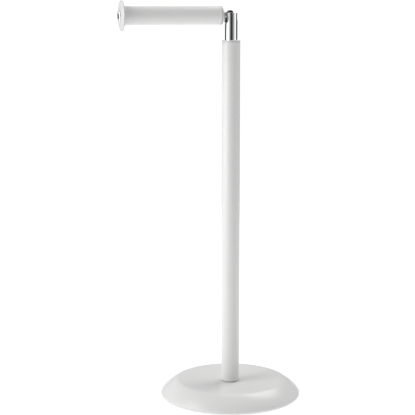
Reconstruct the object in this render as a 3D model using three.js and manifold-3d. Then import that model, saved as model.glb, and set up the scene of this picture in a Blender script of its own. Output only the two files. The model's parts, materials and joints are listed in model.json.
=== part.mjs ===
// Free-standing toilet roll holder: a weighted dished base, an upright pole, a chromed fork at its top,
// and an arm with a free-running roller that folds up in line with the pole.
// Millimetres, +Z up. The origin is the centre of the floor pad's underside; the arm points along -X.
import * as THREE from "three";
import { mergeVertices } from "three/addons/utils/BufferGeometryUtils.js";
import Module from "manifold-3d";

const wasm = await Module();
wasm.setup();

// ---- Driving dimensions ----
const GAP = 0.3; // clearance left between pieces that touch
const RUNNING_GAP = 0.1; // radial play where one piece turns on another

// Base
const BASE_RADIUS = 98.2; // widest, at the shell's rounded lower edge
const EQUATOR_Z = 4.6; // height of the widest ring
const LIP_Z = 1; // underside of the shell's rolled lip
const CREST_RADIUS = 72.9;
const CREST_Z = 23.7;
const DISH_Z = 21; // middle of the dish, where the pole stands
const SHELL_WALL = 1.5;
const PAD_RADIUS = 92.6;
const PAD_THICK = 2.3;
const PLATE_THICK = 1.5;
const BALLAST_RADIUS = 89;
const BALLAST_TOP_Z = 13.4;
const BALLAST_CHAMFER = 6;
const BOSS_RADIUS = 20; // ballast boss under the middle of the shell
const BOLT_POCKET_RADIUS = 11.5; // room in the ballast for the pole bolt's head and washers
const BOLT_POCKET_Z = 12.6;
const PLATE_SCREWS = 3;
const PLATE_SCREW_CIRCLE = 62;
const PLATE_SCREW_LENGTH = 9;
const SCREW_HEAD_RADIUS = 3.8;
const SCREW_RADIUS = 1.9; // M4, nominal less its thread
const COUNTERSINK = 2;

// Pole and its fixings
const TUBE_RADIUS = 12.5;
const TUBE_WALL = 1.2;
const COLLAR_TOP_Z = 498.4;
const COLLAR_FLANGE = 2.1;
const BOLT_RADIUS = 4; // M8
const BOLT_LENGTH = 35;
const BOLT_HEAD_HEIGHT = 5.2;
const BOLT_HEAD_RADIUS = 7.5; // across the hexagon's corners
const WASHER_THICK = 1.6;
const LOCK_WASHER_THICK = 2;
const GASKET_THICK = 0.5;
const INSERT_LENGTH = 30;
const SOCKET_DEPTH = 12.4; // what the post reaches into the collar
const COLLAR_SPIGOT = 30; // what the collar reaches below that socket

// Fork post and hinge
const PIVOT_Z = 531.5;
const POST_RADIUS = 8.6;
const FORK_RISE = 3.8; // ears' top above the pivot
const SLOT_WIDTH = 10.4;
const SLOT_DEEP = 9.4; // floor under the heel, below the pivot
const SLOT_SHALLOW = 6.9; // floor under the knuckle's round end, below the pivot
const SLOT_STEP_X = -1.8;
const STUD_RADIUS = 5; // M10
const STUD_IN_COLLAR = 22;
const STUD_IN_POST = 19;
const PIN_RADIUS = 2.5;
const KNUCKLE_RADIUS = 6.6;
const KNUCKLE_THICK = 9.8;
const NOSE_RADIUS = 3.3; // rounded nose on the knuckle's top
const NOSE_AT = 1.7; // its centre along the arm; distances along the arm are measured from the pivot
const NOSE_RISE = 3.7; // and above the pivot
const SHOULDER_RISE = 4.6; // knuckle's top beside the nose
const KNUCKLE_END = 7; // its flat end, which the spindle's collar is screwed against

// Arm and roller
const SPINDLE_RADIUS = 4; // M8 rod
const SPINDLE_END_RADIUS = 3; // M6 thread at each end
const ROLLER_RADIUS = 12.5;
const ROLLER_WALL = 1.2;
const ROLLER_START = 13.4;
const BUSH_RIM = 2.2; // visible thickness of the inner bush
const SPIGOT_LENGTH = 14.5; // what each end piece reaches into the sleeve
const STOP_BACK = 150.8; // back face of the roll stop
const STOP_RIM = 152.4; // front edge of its rim
const STOP_FACE = 153.4; // flat in the middle of its face
const CAP_RECESS = 0.6; // counterbore in that flat, for the thrust washer
const STOP_RADIUS = 20.25;
const THRUST_WASHER_THICK = 0.5;
const SPINDLE_START = 3.4;
const SPINDLE_COLLAR_RADIUS = 4.9; // the spindle's own collar, between the knuckle and the roller
const SPINDLE_COLLAR_END = 12.6;
const SPINDLE_SHOULDER = 144.4; // where the full rod meets the end in the cap
const CAP_RADIUS = 6.6;
const CAP_SHANK_RADIUS = 4.6;
const CAP_TIP = 156.7;

// Values that follow from them
const TUBE_BORE = TUBE_RADIUS - TUBE_WALL;
const FOOT_Z = DISH_Z + GAP + GASKET_THICK + GAP; // lower end of the tube
const PLATE_Z = PAD_THICK + GAP;
const BALLAST_Z = PLATE_Z + PLATE_THICK + GAP;
const SCREW_TIP_Z = PLATE_Z + PLATE_SCREW_LENGTH;
const WASHER_Z = BOLT_POCKET_Z - GAP - WASHER_THICK;
const LOCK_WASHER_Z = WASHER_Z - GAP - LOCK_WASHER_THICK;
const BOLT_HEAD_Z = LOCK_WASHER_Z - GAP; // underside of the head, against the lock washer
const BOLT_TIP_Z = BOLT_HEAD_Z + BOLT_LENGTH;
const COLLAR_SEAT_Z = COLLAR_TOP_Z - COLLAR_FLANGE;
const SOCKET_Z = COLLAR_TOP_Z - SOCKET_DEPTH;
const STUD_HIGH_Z = SOCKET_Z + STUD_IN_POST;
const FORK_TOP_Z = PIVOT_Z + FORK_RISE;
const SLEEVE_START = ROLLER_START + BUSH_RIM;
const ROLLER_BORE = ROLLER_RADIUS - ROLLER_WALL;
const SPIGOT_RADIUS = ROLLER_BORE - GAP;
const CAP_HEAD = STOP_FACE + 0.2; // underside of the cap's head
const SPINDLE_TIP = CAP_HEAD + 0.4;
const HALF_GAP = GAP / 2; // left on each side of a thrust washer

// ---- Materials ----
function finish(color, roughness, metalness) {
  return new THREE.MeshStandardMaterial({ color, roughness, metalness });
}

const whitePaint = finish(0xe9e9e6, 0.28, 0);
const whitePlastic = finish(0xefefec, 0.4, 0);
const chrome = finish(0xd8dadd, 0.06, 1);
const zincSteel = finish(0xa9acb0, 0.35, 1);
const castIron = finish(0x4a4a4c, 0.7, 0.6);
const blackRubber = finish(0x26272a, 0.9, 0);
const blackPlastic = finish(0x2a2b2d, 0.35, 0);
const nylon = finish(0xdedcd4, 0.5, 0);

// ---- Shape helpers ----
// A solid of revolution about +Y from a profile of [radius, height], outer side rising.
function lathe(profile, sides) {
  return new THREE.LatheGeometry(profile.map(([r, h]) => new THREE.Vector2(r, h)), sides);
}

// A plain cylinder about +Y between two heights.
const rod = (radius, low, high, sides) => lathe([[0, low], [radius, low], [radius, high], [0, high]], sides);

// A ring about +Y between two heights.
function ring(bore, radius, low, high, sides) {
  return lathe([[bore, low], [radius, low], [radius, high], [bore, high], [bore, low]], sides);
}

// A rod about +Y with a chamfer at each end.
function chamferedRod(radius, low, high, chamfer, sides) {
  const inner = radius - chamfer;
  return lathe(
    [[0, low], [inner, low], [radius, low + chamfer], [radius, high - chamfer], [inner, high], [0, high]],
    sides,
  );
}

// A prism of an [x, y] outline, centred on z = 0.
function prism(outline, thickness) {
  const shape = new THREE.Shape(outline.map(([x, y]) => new THREE.Vector2(x, y)));
  const geometry = new THREE.ExtrudeGeometry(shape, { depth: thickness, bevelEnabled: false });
  return geometry.translate(0, 0, -thickness / 2);
}

// Points [x, y] on an arc between two angles in degrees.
function arc(cx, cy, radius, from, to, steps) {
  const points = [];
  for (let i = 0; i <= steps; i++) {
    const angle = THREE.MathUtils.degToRad(from + ((to - from) * i) / steps);
    points.push([cx + radius * Math.cos(angle), cy + radius * Math.sin(angle)]);
  }
  return points;
}

// Points [x, y] on a cubic Bezier curve.
function bezier(a, b, c, d, steps) {
  const vectors = [a, b, c, d].map(([x, y]) => new THREE.Vector2(x, y));
  return new THREE.CubicBezierCurve(...vectors).getPoints(steps).map((p) => [p.x, p.y]);
}

// A geometry as a solid for cutting and joining.
function solid(geometry) {
  const bare = geometry.index ? geometry.toNonIndexed() : geometry.clone();
  bare.deleteAttribute("normal");
  bare.deleteAttribute("uv");
  const merged = mergeVertices(bare, 1e-4);
  const vertProperties = new Float32Array(merged.attributes.position.array);
  const triVerts = new Uint32Array(merged.index.array);
  return new wasm.Manifold(new wasm.Mesh({ numProp: 3, vertProperties, triVerts }));
}

// The solid's surface as a geometry.
function geometryOf(made) {
  const { numProp, numVert, vertProperties, triVerts } = made.getMesh();
  const position = new Float32Array(numVert * 3);
  for (let i = 0; i < numVert; i++) {
    position.set(vertProperties.subarray(i * numProp, i * numProp + 3), i * 3);
  }
  const geometry = new THREE.BufferGeometry();
  geometry.setAttribute("position", new THREE.BufferAttribute(position, 3));
  geometry.setIndex(new THREE.BufferAttribute(new Uint32Array(triVerts), 1));
  geometry.computeVertexNormals();
  return geometry;
}

// A named mesh placed in a group.
function place(group, name, geometry, material) {
  const mesh = new THREE.Mesh(geometry, material);
  mesh.name = name;
  group.add(mesh);
  return mesh;
}

// ---- Base ----
// The shell's top from its widest ring over the crest to the middle of the dish; inset gives the inner side.
function shellTop(inset, flankSteps, dishSteps) {
  const flank = bezier(
    [BASE_RADIUS - inset, EQUATOR_Z],
    [BASE_RADIUS - inset, EQUATOR_Z + 3.4 - 0.6 * inset],
    [CREST_RADIUS + 8.4 - 0.8 * inset, CREST_Z - inset],
    [CREST_RADIUS, CREST_Z - inset],
    flankSteps,
  );
  const dish = bezier(
    [CREST_RADIUS, CREST_Z - inset],
    [CREST_RADIUS - 12, CREST_Z - inset],
    [BOSS_RADIUS + 18, DISH_Z - inset],
    [BOSS_RADIUS, DISH_Z - inset],
    dishSteps,
  );
  return [...flank, ...dish.slice(1)];
}

function baseShell() {
  const lipRadius = EQUATOR_Z - LIP_Z;
  const lipX = BASE_RADIUS - lipRadius;
  const bore = BOLT_RADIUS + 2 * GAP;
  const outside = [
    [PAD_RADIUS + 0.7, LIP_Z],
    ...arc(lipX, EQUATOR_Z, lipRadius, -90, 0, 4).slice(0, -1),
    ...shellTop(0, 6, 5),
    [bore, DISH_Z],
  ];
  const inside = [
    ...arc(lipX, EQUATOR_Z, lipRadius - SHELL_WALL, -90, 0, 2).slice(0, -1),
    ...shellTop(SHELL_WALL, 3, 3),
    [bore, DISH_Z - SHELL_WALL],
  ];
  const lipEnd = [PAD_RADIUS + 0.7, LIP_Z + SHELL_WALL];
  return lathe([...outside, ...inside.reverse(), lipEnd, outside[0]], 48);
}

const floorPad = () => chamferedRod(PAD_RADIUS, 0, PAD_THICK, 0.5, 48);

// A countersunk screw's place on the base plate.
function atScrew(geometry, index) {
  return geometry.translate(PLATE_SCREW_CIRCLE, 0, 0).rotateY((index * 2 * Math.PI) / PLATE_SCREWS);
}

function plateScrew(index) {
  const profile = [
    [0, PLATE_Z],
    [SCREW_HEAD_RADIUS, PLATE_Z],
    [SCREW_RADIUS, PLATE_Z + COUNTERSINK],
    [SCREW_RADIUS, SCREW_TIP_Z - 1],
    [SCREW_RADIUS - 0.8, SCREW_TIP_Z],
    [0, SCREW_TIP_Z],
  ];
  return atScrew(lathe(profile, 20), index);
}

// What each screw needs cleared: its countersink and its hole, a gap larger all round.
function screwSpace(index) {
  const profile = [
    [0, PLATE_Z - 1],
    [SCREW_HEAD_RADIUS + GAP, PLATE_Z - 1],
    [SCREW_HEAD_RADIUS + GAP, PLATE_Z],
    [SCREW_RADIUS + GAP, PLATE_Z + COUNTERSINK],
    [SCREW_RADIUS + GAP, SCREW_TIP_Z + GAP],
    [0, SCREW_TIP_Z + GAP],
  ];
  return solid(atScrew(lathe(profile, 20), index));
}

function withoutScrews(made) {
  let cut = made;
  for (let i = 0; i < PLATE_SCREWS; i++) {
    cut = cut.subtract(screwSpace(i));
  }
  return geometryOf(cut);
}

function basePlate() {
  return withoutScrews(solid(ring(BOLT_POCKET_RADIUS, PAD_RADIUS, PLATE_Z, PLATE_Z + PLATE_THICK, 36)));
}

function ballastWeight() {
  const hole = BOLT_RADIUS + 2 * GAP;
  const bossTop = DISH_Z - SHELL_WALL - GAP;
  const profile = [
    [BOLT_POCKET_RADIUS, BALLAST_Z],
    [BALLAST_RADIUS, BALLAST_Z],
    [BALLAST_RADIUS, BALLAST_TOP_Z - BALLAST_CHAMFER],
    [BALLAST_RADIUS - BALLAST_CHAMFER, BALLAST_TOP_Z],
    [BOSS_RADIUS + 4, BALLAST_TOP_Z],
    [BOSS_RADIUS - 1, bossTop],
    [hole, bossTop],
    [hole, BOLT_POCKET_Z],
    [BOLT_POCKET_RADIUS, BOLT_POCKET_Z],
    [BOLT_POCKET_RADIUS, BALLAST_Z],
  ];
  return withoutScrews(solid(lathe(profile, 32)));
}

// ---- Pole ----
// Hexagon head down, threaded shank up.
function poleBolt() {
  const headLow = BOLT_HEAD_Z - BOLT_HEAD_HEIGHT;
  const head = solid(rod(BOLT_HEAD_RADIUS, headLow, BOLT_HEAD_Z, 6));
  const shank = solid(chamferedRod(BOLT_RADIUS, headLow + 1, BOLT_TIP_Z, 1, 24));
  return geometryOf(head.add(shank));
}

const boltWasher = () => ring(BOLT_RADIUS + GAP, 8.5, WASHER_Z, WASHER_Z + WASHER_THICK, 24);

// A split spring washer: a ring with a narrow radial cut.
function boltLockWasher() {
  const high = LOCK_WASHER_Z + LOCK_WASHER_THICK;
  const whole = solid(ring(BOLT_RADIUS + GAP, 7.2, LOCK_WASHER_Z, high, 24));
  const split = solid(new THREE.BoxGeometry(8, 4, 0.8).translate(7, high - 1, 0));
  return geometryOf(whole.subtract(split));
}

function footGasket() {
  const low = DISH_Z + GAP;
  return ring(BOLT_RADIUS + 2 * GAP, TUBE_RADIUS - 0.7, low, low + GASKET_THICK, 32);
}

const poleTube = () => ring(TUBE_BORE, TUBE_RADIUS, FOOT_Z, COLLAR_SEAT_Z - GAP, 48);

// Threaded plug in the tube's lower end, with a blind hole for the pole bolt.
function footInsert() {
  const radius = TUBE_BORE - GAP;
  const bore = BOLT_RADIUS + GAP;
  const top = FOOT_Z + INSERT_LENGTH;
  const boreTop = BOLT_TIP_Z + 2;
  const profile = [
    [bore, FOOT_Z],
    [radius, FOOT_Z],
    [radius, top - 1.5],
    [radius - 1.5, top],
    [0, top],
    [0, boreTop],
    [bore, boreTop],
    [bore, FOOT_Z],
  ];
  return lathe(profile, 36);
}

// Closes the tube's upper end with a thin flange, and takes the post in a socket.
function topCollar() {
  const body = TUBE_BORE - GAP;
  const socket = POST_RADIUS + GAP;
  const bore = STUD_RADIUS + GAP;
  const low = SOCKET_Z - COLLAR_SPIGOT;
  const profile = [
    [bore, low],
    [body - 1, low],
    [body, low + 1],
    [body, COLLAR_SEAT_Z],
    [TUBE_RADIUS, COLLAR_SEAT_Z],
    [TUBE_RADIUS, COLLAR_TOP_Z - 0.5],
    [TUBE_RADIUS - 0.5, COLLAR_TOP_Z],
    [socket, COLLAR_TOP_Z],
    [socket, SOCKET_Z],
    [bore, SOCKET_Z],
    [bore, low],
  ];
  return lathe(profile, 48);
}

const postStud = () => chamferedRod(STUD_RADIUS, SOCKET_Z - STUD_IN_COLLAR, STUD_HIGH_Z, 0.8, 24);

// ---- Fork post and hinge ----
// Outline of the slot in the plane the arm folds in, from the pivot: open to both sides and the top.
function slotOutline() {
  const reach = POST_RADIUS + 1;
  return [
    [-reach, FORK_RISE + 1],
    [-reach, -SLOT_DEEP],
    [SLOT_STEP_X, -SLOT_DEEP],
    [SLOT_STEP_X, -SLOT_SHALLOW],
    [reach, -SLOT_SHALLOW],
    [reach, FORK_RISE + 1],
  ];
}

function hingePost() {
  const low = SOCKET_Z + GAP;
  const boreTop = STUD_HIGH_Z + 1;
  const bore = STUD_RADIUS + GAP;
  const bar = solid(lathe(
    [
      [bore, low],
      [POST_RADIUS, low],
      [POST_RADIUS, FORK_TOP_Z - 0.4],
      [POST_RADIUS - 0.4, FORK_TOP_Z],
      [0, FORK_TOP_Z],
      [0, boreTop],
      [bore, boreTop],
      [bore, low],
    ],
    48,
  ));
  const slot = solid(prism(slotOutline(), SLOT_WIDTH).translate(0, PIVOT_Z, 0));
  const pinHole = solid(pinSpace().rotateX(Math.PI / 2).translate(0, PIVOT_Z, 0));
  return geometryOf(bar.subtract(slot).subtract(pinHole));
}

// The pin is short enough to end inside the post's curved sides.
const PIN_HALF = POST_RADIUS - 0.4;
const hingePin = () => chamferedRod(PIN_RADIUS, -PIN_HALF, PIN_HALF, 0.4, 24);
const pinSpace = () => rod(PIN_RADIUS + RUNNING_GAP, -2 * PIN_HALF, 2 * PIN_HALF, 24);

// Side outline of the knuckle as [distance along the arm, height], from the pivot: a rounded nose that stands
// above the fork, a square toe that stops the arm upright, and a heel that stops it level.
function knuckleOutline() {
  const heelNear = -SLOT_STEP_X + GAP;
  const heelFar = POST_RADIUS - 0.4;
  const heelLow = -SLOT_DEEP + GAP;
  const heelTop = -SPINDLE_COLLAR_RADIUS - GAP;
  const noseFrom = THREE.MathUtils.radToDeg(Math.asin((SHOULDER_RISE - NOSE_RISE) / NOSE_RADIUS));
  const noseTo = 180 - THREE.MathUtils.radToDeg(Math.asin((FORK_RISE - NOSE_RISE) / NOSE_RADIUS));
  const heelAngle = THREE.MathUtils.radToDeg(Math.acos(heelNear / KNUCKLE_RADIUS));
  return [
    [KNUCKLE_END, SHOULDER_RISE],
    ...arc(NOSE_AT, NOSE_RISE, NOSE_RADIUS, noseFrom, noseTo, 8),
    [-KNUCKLE_RADIUS, FORK_RISE],
    ...arc(0, 0, KNUCKLE_RADIUS, 180, 360 - heelAngle, 8),
    [heelNear, heelLow],
    [heelFar, heelLow],
    [heelFar, heelTop],
    [KNUCKLE_END, heelTop],
  ];
}

function hingeKnuckle() {
  const tongue = solid(prism(knuckleOutline(), KNUCKLE_THICK).rotateX(Math.PI / 2).rotateZ(Math.PI / 2));
  const pinHole = solid(pinSpace().rotateZ(Math.PI / 2));
  const spindleHole = solid(rod(SPINDLE_END_RADIUS + GAP, SPINDLE_START - GAP, KNUCKLE_END + 1, 24));
  return geometryOf(tongue.subtract(pinHole).subtract(spindleHole));
}

// ---- Arm and roller, along +Y from the pivot ----
// Turned rod: a threaded end in the knuckle, a collar, the running length and a threaded end in the cap.
function spindleRod() {
  const profile = [
    [0, SPINDLE_START],
    [SPINDLE_END_RADIUS - 0.6, SPINDLE_START],
    [SPINDLE_END_RADIUS, SPINDLE_START + 0.6],
    [SPINDLE_END_RADIUS, KNUCKLE_END + GAP],
    [SPINDLE_COLLAR_RADIUS - 0.3, KNUCKLE_END + GAP],
    [SPINDLE_COLLAR_RADIUS, KNUCKLE_END + 2 * GAP],
    [SPINDLE_COLLAR_RADIUS, SPINDLE_COLLAR_END - GAP],
    [SPINDLE_COLLAR_RADIUS - 0.3, SPINDLE_COLLAR_END],
    [SPINDLE_RADIUS, SPINDLE_COLLAR_END],
    [SPINDLE_RADIUS, SPINDLE_SHOULDER],
    [SPINDLE_END_RADIUS, SPINDLE_SHOULDER],
    [SPINDLE_END_RADIUS, SPINDLE_TIP - 0.6],
    [SPINDLE_END_RADIUS - 0.6, SPINDLE_TIP],
    [0, SPINDLE_TIP],
  ];
  return lathe(profile, 24);
}

function innerThrustWasher() {
  const low = SPINDLE_COLLAR_END + HALF_GAP;
  return ring(SPINDLE_RADIUS + 2 * RUNNING_GAP, SPINDLE_COLLAR_RADIUS, low, low + THRUST_WASHER_THICK, 24);
}

function innerBush() {
  const bore = SPINDLE_RADIUS + RUNNING_GAP;
  const end = SLEEVE_START + SPIGOT_LENGTH;
  const profile = [
    [bore, ROLLER_START],
    [ROLLER_RADIUS - 0.5, ROLLER_START],
    [ROLLER_RADIUS, ROLLER_START + 0.5],
    [ROLLER_RADIUS, SLEEVE_START],
    [SPIGOT_RADIUS, SLEEVE_START],
    [SPIGOT_RADIUS, end - 1],
    [SPIGOT_RADIUS - 1, end],
    [bore, end],
    [bore, ROLLER_START],
  ];
  return lathe(profile, 40);
}

const rollerSleeve = () => ring(ROLLER_BORE, ROLLER_RADIUS, SLEEVE_START + GAP, STOP_BACK - GAP, 40);

// Round plate that keeps the roll on, with a spigot in the sleeve and a stepped bore for the cap's shank.
function rollStop() {
  const low = STOP_BACK - SPIGOT_LENGTH;
  const journal = CAP_SHANK_RADIUS + RUNNING_GAP;
  const web = SPINDLE_RADIUS + RUNNING_GAP;
  const profile = [
    [web, low],
    [SPIGOT_RADIUS - 1, low],
    [SPIGOT_RADIUS, low + 1],
    [SPIGOT_RADIUS, STOP_BACK],
    [STOP_RADIUS - 0.5, STOP_BACK],
    [STOP_RADIUS, STOP_BACK + 0.5],
    [STOP_RADIUS, STOP_RIM - 0.5],
    [STOP_RADIUS - 0.5, STOP_RIM],
    [STOP_RADIUS - 7, STOP_FACE - 0.25],
    [CAP_RADIUS + 0.9, STOP_FACE],
    [CAP_RADIUS - 0.5, STOP_FACE],
    [CAP_RADIUS - 0.5, STOP_FACE - CAP_RECESS],
    [journal, STOP_FACE - CAP_RECESS],
    [journal, SPINDLE_SHOULDER],
    [web, SPINDLE_SHOULDER],
    [web, low],
  ];
  return lathe(profile, 40);
}

function outerThrustWasher() {
  const low = STOP_FACE - CAP_RECESS + HALF_GAP;
  return ring(CAP_SHANK_RADIUS + 2 * RUNNING_GAP, CAP_RADIUS - 0.8, low, low + THRUST_WASHER_THICK, 24);
}

// Domed cap nut with a plain shank that the roller's outer end runs on.
function endCapNut() {
  const bore = SPINDLE_END_RADIUS + GAP;
  const boreEnd = SPINDLE_TIP + GAP;
  const shankEnd = SPINDLE_SHOULDER + GAP;
  const domeBase = CAP_HEAD + 1;
  const shoulder = [CAP_RADIUS, CAP_TIP - 0.7];
  const dome = bezier([CAP_RADIUS, domeBase], shoulder, [CAP_RADIUS - 2, CAP_TIP], [0, CAP_TIP], 5);
  const profile = [
    [bore, shankEnd],
    [CAP_SHANK_RADIUS, shankEnd],
    [CAP_SHANK_RADIUS, CAP_HEAD],
    [CAP_RADIUS - 0.3, CAP_HEAD],
    [CAP_RADIUS, CAP_HEAD + 0.3],
    ...dome,
    [0, boreEnd],
    [bore, boreEnd],
    [bore, shankEnd],
  ];
  return lathe(profile, 32);
}

// ---- Assembly ----
// The stand is built about +Y and stood up.
// The arm is built about +Y and laid along -X at the pivot's height.
const rollHolder = new THREE.Group();
const stand = new THREE.Group();
stand.rotation.x = Math.PI / 2;
rollHolder.add(stand);
const arm = new THREE.Group();
arm.position.z = PIVOT_Z;
arm.rotation.z = Math.PI / 2;
rollHolder.add(arm);

place(stand, "base_shell", baseShell(), whitePaint);
place(stand, "ballast_weight", ballastWeight(), castIron);
place(stand, "base_plate", basePlate(), zincSteel);
place(stand, "floor_pad", floorPad(), blackRubber);
for (let i = 0; i < PLATE_SCREWS; i++) {
  place(stand, `plate_screw_${i + 1}`, plateScrew(i), zincSteel);
}
place(stand, "pole_bolt", poleBolt(), zincSteel);
place(stand, "bolt_washer", boltWasher(), zincSteel);
place(stand, "bolt_lock_washer", boltLockWasher(), zincSteel);
place(stand, "foot_gasket", footGasket(), nylon);
place(stand, "foot_insert", footInsert(), zincSteel);
place(stand, "pole_tube", poleTube(), whitePaint);
place(stand, "top_collar", topCollar(), whitePlastic);
place(stand, "post_stud", postStud(), zincSteel);
place(stand, "hinge_post", hingePost(), chrome);

// The pin lies across the arm, along world Y.
place(rollHolder, "hinge_pin", hingePin(), chrome).position.z = PIVOT_Z;

place(arm, "hinge_knuckle", hingeKnuckle(), blackPlastic);
place(arm, "spindle_rod", spindleRod(), zincSteel);
place(arm, "inner_thrust_washer", innerThrustWasher(), nylon);
place(arm, "inner_bush", innerBush(), whitePlastic);
place(arm, "roller_sleeve", rollerSleeve(), whitePaint);
place(arm, "roll_stop", rollStop(), whitePlastic);
place(arm, "outer_thrust_washer", outerThrustWasher(), nylon);
place(arm, "end_cap_nut", endCapNut(), chrome);

export default rollHolder;
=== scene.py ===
"""Looks for the free-standing toilet roll holder: fine meshes, materials, light and camera.

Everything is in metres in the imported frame's axes: +Z up, the floor at 0, the pole on the Z axis
and the arm along -X.
"""

import json
import math

import bmesh
import bpy
from mathutils import Matrix, Vector


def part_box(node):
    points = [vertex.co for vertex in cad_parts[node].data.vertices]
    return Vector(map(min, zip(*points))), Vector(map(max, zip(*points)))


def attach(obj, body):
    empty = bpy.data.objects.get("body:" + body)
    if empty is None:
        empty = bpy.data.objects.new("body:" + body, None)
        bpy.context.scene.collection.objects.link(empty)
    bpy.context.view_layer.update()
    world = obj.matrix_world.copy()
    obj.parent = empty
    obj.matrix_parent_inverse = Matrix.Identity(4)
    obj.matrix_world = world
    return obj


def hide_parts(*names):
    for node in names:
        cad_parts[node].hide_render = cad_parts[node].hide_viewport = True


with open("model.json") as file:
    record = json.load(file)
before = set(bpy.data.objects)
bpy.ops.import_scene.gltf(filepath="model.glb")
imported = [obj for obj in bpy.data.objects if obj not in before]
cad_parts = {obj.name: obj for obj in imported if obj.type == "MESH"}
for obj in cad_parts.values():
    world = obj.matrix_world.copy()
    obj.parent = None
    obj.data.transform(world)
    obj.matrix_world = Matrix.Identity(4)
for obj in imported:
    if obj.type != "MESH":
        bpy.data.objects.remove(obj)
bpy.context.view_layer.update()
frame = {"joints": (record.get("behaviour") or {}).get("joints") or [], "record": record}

MM = 0.001
FIT_GAP = 0.3 * MM  # usual gap between neighbouring pieces
STAND, ARM, ROLLER = "stand", "arm", "roller"
joints = {joint["name"]: joint for joint in frame["joints"]}
PIVOT = Vector(joints["arm_fold"]["pos_m"])


# ---------------------------------------------------------------- places
# An upright piece is built about +Z where it stands.
# An arm piece is built about +Z, where height is the distance from the pivot.
UPRIGHT = Matrix.Identity(4)
ALONG_ARM = Matrix.Translation(PIVOT) @ Matrix.Rotation(math.radians(-90), 4, "Y")
# A side outline is drawn as (distance along the arm, height) from the pivot, with its thickness along Y.
FROM_SIDE = Matrix.Translation(PIVOT) @ Matrix(((-1, 0, 0, 0), (0, 0, 1, 0), (0, 1, 0, 0), (0, 0, 0, 1)))
# A cross outline is drawn as (across, height) from the pivot, with its length along X.
FROM_END = Matrix.Translation(PIVOT) @ Matrix(((0, 0, 1, 0), (1, 0, 0, 0), (0, 1, 0, 0), (0, 0, 0, 1)))
# The hinge pin's own pieces are built about +Z and laid along Y.
ALONG_PIN = Matrix.Translation(PIVOT) @ Matrix.Rotation(math.radians(-90), 4, "X")


def across(node, axis):
    """Half the width of a round CAD node along an axis."""
    low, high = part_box(node)
    return (high[axis] - low[axis]) / 2


def heights(node):
    """Lowest and highest level of a CAD node."""
    low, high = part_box(node)
    return low.z, high.z


def reach(node):
    """Nearest and farthest distance of an arm node from the pivot, along the arm."""
    low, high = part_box(node)
    return PIVOT.x - high.x, PIVOT.x - low.x


# ---------------------------------------------------------------- outlines
def bezier(a, b, c, d, steps):
    """Points on a cubic curve from a to d."""
    points = []
    for i in range(steps + 1):
        t = i / steps
        weights = ((1 - t) ** 3, 3 * t * (1 - t) ** 2, 3 * t * t * (1 - t), t**3)
        points.append(tuple(sum(w * p[k] for w, p in zip(weights, (a, b, c, d))) for k in (0, 1)))
    return points


def arc(centre, radius, start, end, steps):
    """Points on an arc between two angles in degrees."""
    points = []
    for i in range(steps + 1):
        angle = math.radians(start + (end - start) * i / steps)
        points.append((centre[0] + radius * math.cos(angle), centre[1] + radius * math.sin(angle)))
    return points


def turned(points, degrees):
    """Points turned about the origin."""
    turn = Matrix.Rotation(math.radians(degrees), 2)
    return [tuple(turn @ Vector(point)) for point in points]


def rounded(corners, closed=True):
    """An outline whose corners (a, b, radius) are turned into arcs; a corner with no radius stays sharp."""
    points = []
    count = len(corners)
    for i, corner in enumerate(corners):
        here = Vector(corner[:2])
        radius = corner[2] if len(corner) > 2 else 0
        end = not closed and i in (0, count - 1)
        if radius == 0 or end:
            points.append(tuple(here))
            continue
        back = (Vector(corners[i - 1][:2]) - here).normalized()
        ahead = (Vector(corners[(i + 1) % count][:2]) - here).normalized()
        half = back.angle(ahead) / 2
        trim = radius / math.tan(half)
        centre = here + (back + ahead).normalized() * (radius / math.sin(half))
        first = here + back * trim - centre
        turn = first.angle_signed(here + ahead * trim - centre)
        steps = max(2, round(abs(turn) / math.radians(12)))
        for k in range(steps + 1):
            spoke = first.copy()
            spoke.rotate(Matrix.Rotation(-turn * k / steps, 2))
            points.append(tuple(centre + spoke))
    return points


# ---------------------------------------------------------------- meshes
def piece(name, made, place):
    """An object from a bmesh, its place put into its mesh, smooth with flats kept flat."""
    bmesh.ops.remove_doubles(made, verts=made.verts, dist=1e-7)
    bmesh.ops.transform(made, matrix=place, verts=made.verts)
    bmesh.ops.recalc_face_normals(made, faces=made.faces)
    mesh = bpy.data.meshes.new(name)
    made.to_mesh(mesh)
    made.free()
    mesh.shade_smooth()
    thing = bpy.data.objects.new(name, mesh)
    bpy.context.scene.collection.objects.link(thing)
    return thing


def revolve(name, outline, place=UPRIGHT, sides=96):
    """A solid of revolution about +Z from (radius, height) points; it closes on the axis or on itself."""
    made = bmesh.new()
    rings = []
    for radius, height in outline:
        if radius < 1e-9:
            rings.append([made.verts.new((0, 0, height))] * sides)
            continue
        ring = []
        for i in range(sides):
            angle = 2 * math.pi * i / sides
            ring.append(made.verts.new((radius * math.cos(angle), radius * math.sin(angle), height)))
        rings.append(ring)
    on_axis = outline[0][0] < 1e-9 and outline[-1][0] < 1e-9
    pairs = list(zip(rings, rings[1:])) + ([] if on_axis else [(rings[-1], rings[0])])
    for lower, upper in pairs:
        for i in range(sides):
            j = (i + 1) % sides
            corners = []
            for vert in (lower[i], lower[j], upper[j], upper[i]):
                if vert not in corners:
                    corners.append(vert)
            if len(corners) > 2:
                made.faces.new(corners)
    return piece(name, made, place)


def slab(name, outline, low, high, place):
    """A prism of an outline between two heights of its own Z."""
    made = bmesh.new()
    bottom = [made.verts.new((a, b, low)) for a, b in outline]
    top = [made.verts.new((a, b, high)) for a, b in outline]
    made.faces.new(list(reversed(bottom)))
    made.faces.new(top)
    for i in range(len(outline)):
        j = (i + 1) % len(outline)
        made.faces.new((bottom[i], bottom[j], top[j], top[i]))
    return piece(name, made, place)


def plain_rod(name, radius, span, place=UPRIGHT, sides=48):
    """A cylinder between two heights of its own Z."""
    low, high = span
    return revolve(name, [(0, low), (radius, low), (radius, high), (0, high)], place, sides)


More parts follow.
